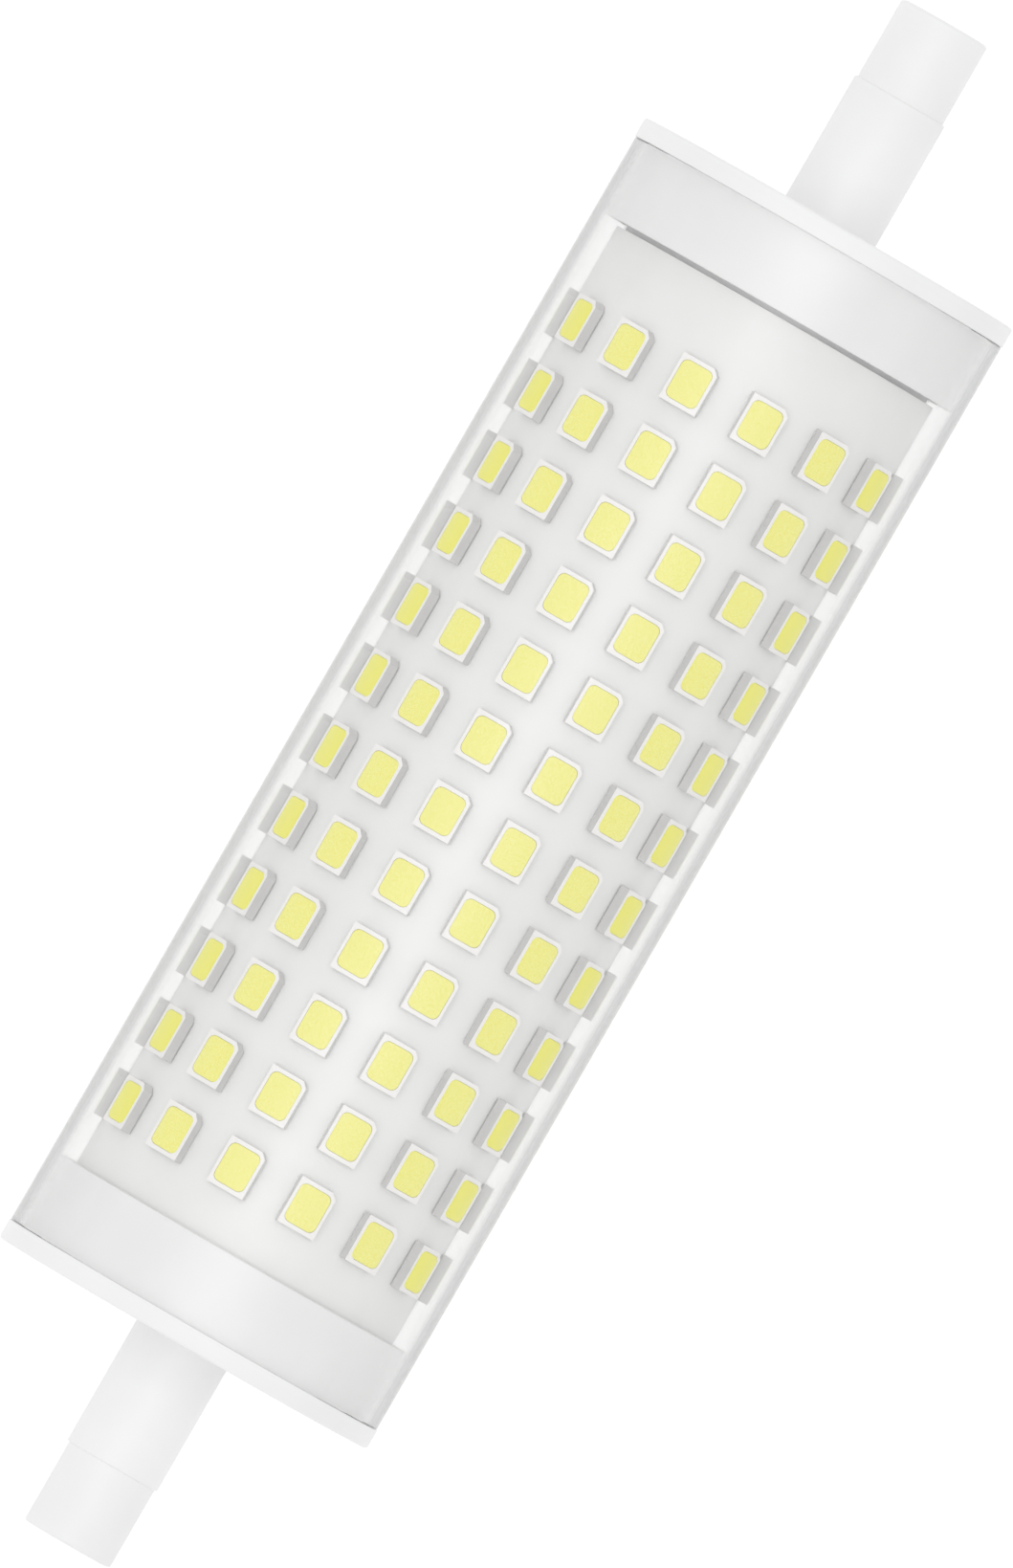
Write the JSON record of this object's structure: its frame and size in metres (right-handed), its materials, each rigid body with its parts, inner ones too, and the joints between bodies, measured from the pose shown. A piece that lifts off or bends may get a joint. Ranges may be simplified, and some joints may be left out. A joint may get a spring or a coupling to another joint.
{
  "type": "linear led bulb",
  "caption": "Double-ended linear LED lamp: a clear tube over a rolled white board of yellow LEDs, with a white stepped cap and recessed contact at each end.",
  "frame": {"origin": "centre of the lamp, on its axis", "axes": "+X along the lamp's axis, towards the end where the board stops short of the cap; +Z towards the side where the first and last LED columns lie either side of the middle"},
  "size_m": [0.118, 0.0284, 0.0285],
  "materials": {
    "clear_glass": "clear, polished",
    "cap_plastic": "fine moulded satin",
    "contact_metal": "nickel plated",
    "board_white": "white solder mask",
    "led_housing_white": "smooth moulded",
    "phosphor_yellow": "cast silicone",
    "driver_board_green": "green solder mask",
    "chip_black": "moulded epoxy",
    "capacitor_sleeve": "shrunk sleeve",
    "film_case": "cast epoxy",
    "winding_varnish": "varnished winding",
    "fuse_case": "moulded box",
    "lead_insulation": "sleeved wire"
  },
  "bodies": {
    "root": {"bridge_rectifier": "chip_black", "choke": "winding_varnish", "clear_tube": "clear_glass", "contact_lead_left": "lead_insulation", "contact_lead_right": "lead_insulation", "contact_left": "contact_metal", "contact_right": "contact_metal", "driver_board": "driver_board_green", "driver_chip": "chip_black", "electrolytic_capacitor": "capacitor_sleeve", "end_cap_left": "cap_plastic", "end_cap_right": "cap_plastic", "film_capacitor": "film_case", "fuse": "fuse_case", "led_board": "board_white", "led_housings_01": "led_housing_white", "led_housings_02": "led_housing_white", "led_housings_03": "led_housing_white", "led_housings_04": "led_housing_white", "led_housings_05": "led_housing_white", "led_housings_06": "led_housing_white", "led_housings_07": "led_housing_white", "led_housings_08": "led_housing_white", "led_housings_09": "led_housing_white", "led_housings_10": "led_housing_white", "led_housings_11": "led_housing_white", "led_housings_12": "led_housing_white", "led_housings_13": "led_housing_white", "led_housings_14": "led_housing_white", "led_housings_15": "led_housing_white", "led_phosphor_01": "phosphor_yellow", "led_phosphor_02": "phosphor_yellow", "led_phosphor_03": "phosphor_yellow", "led_phosphor_04": "phosphor_yellow", "led_phosphor_05": "phosphor_yellow", "led_phosphor_06": "phosphor_yellow", "led_phosphor_07": "phosphor_yellow", "led_phosphor_08": "phosphor_yellow", "led_phosphor_09": "phosphor_yellow", "led_phosphor_10": "phosphor_yellow", "led_phosphor_11": "phosphor_yellow", "led_phosphor_12": "phosphor_yellow", "led_phosphor_13": "phosphor_yellow", "led_phosphor_14": "phosphor_yellow", "led_phosphor_15": "phosphor_yellow", "led_pin_negative": "contact_metal", "led_pin_positive": "contact_metal"}
  },
  "joints": []
}
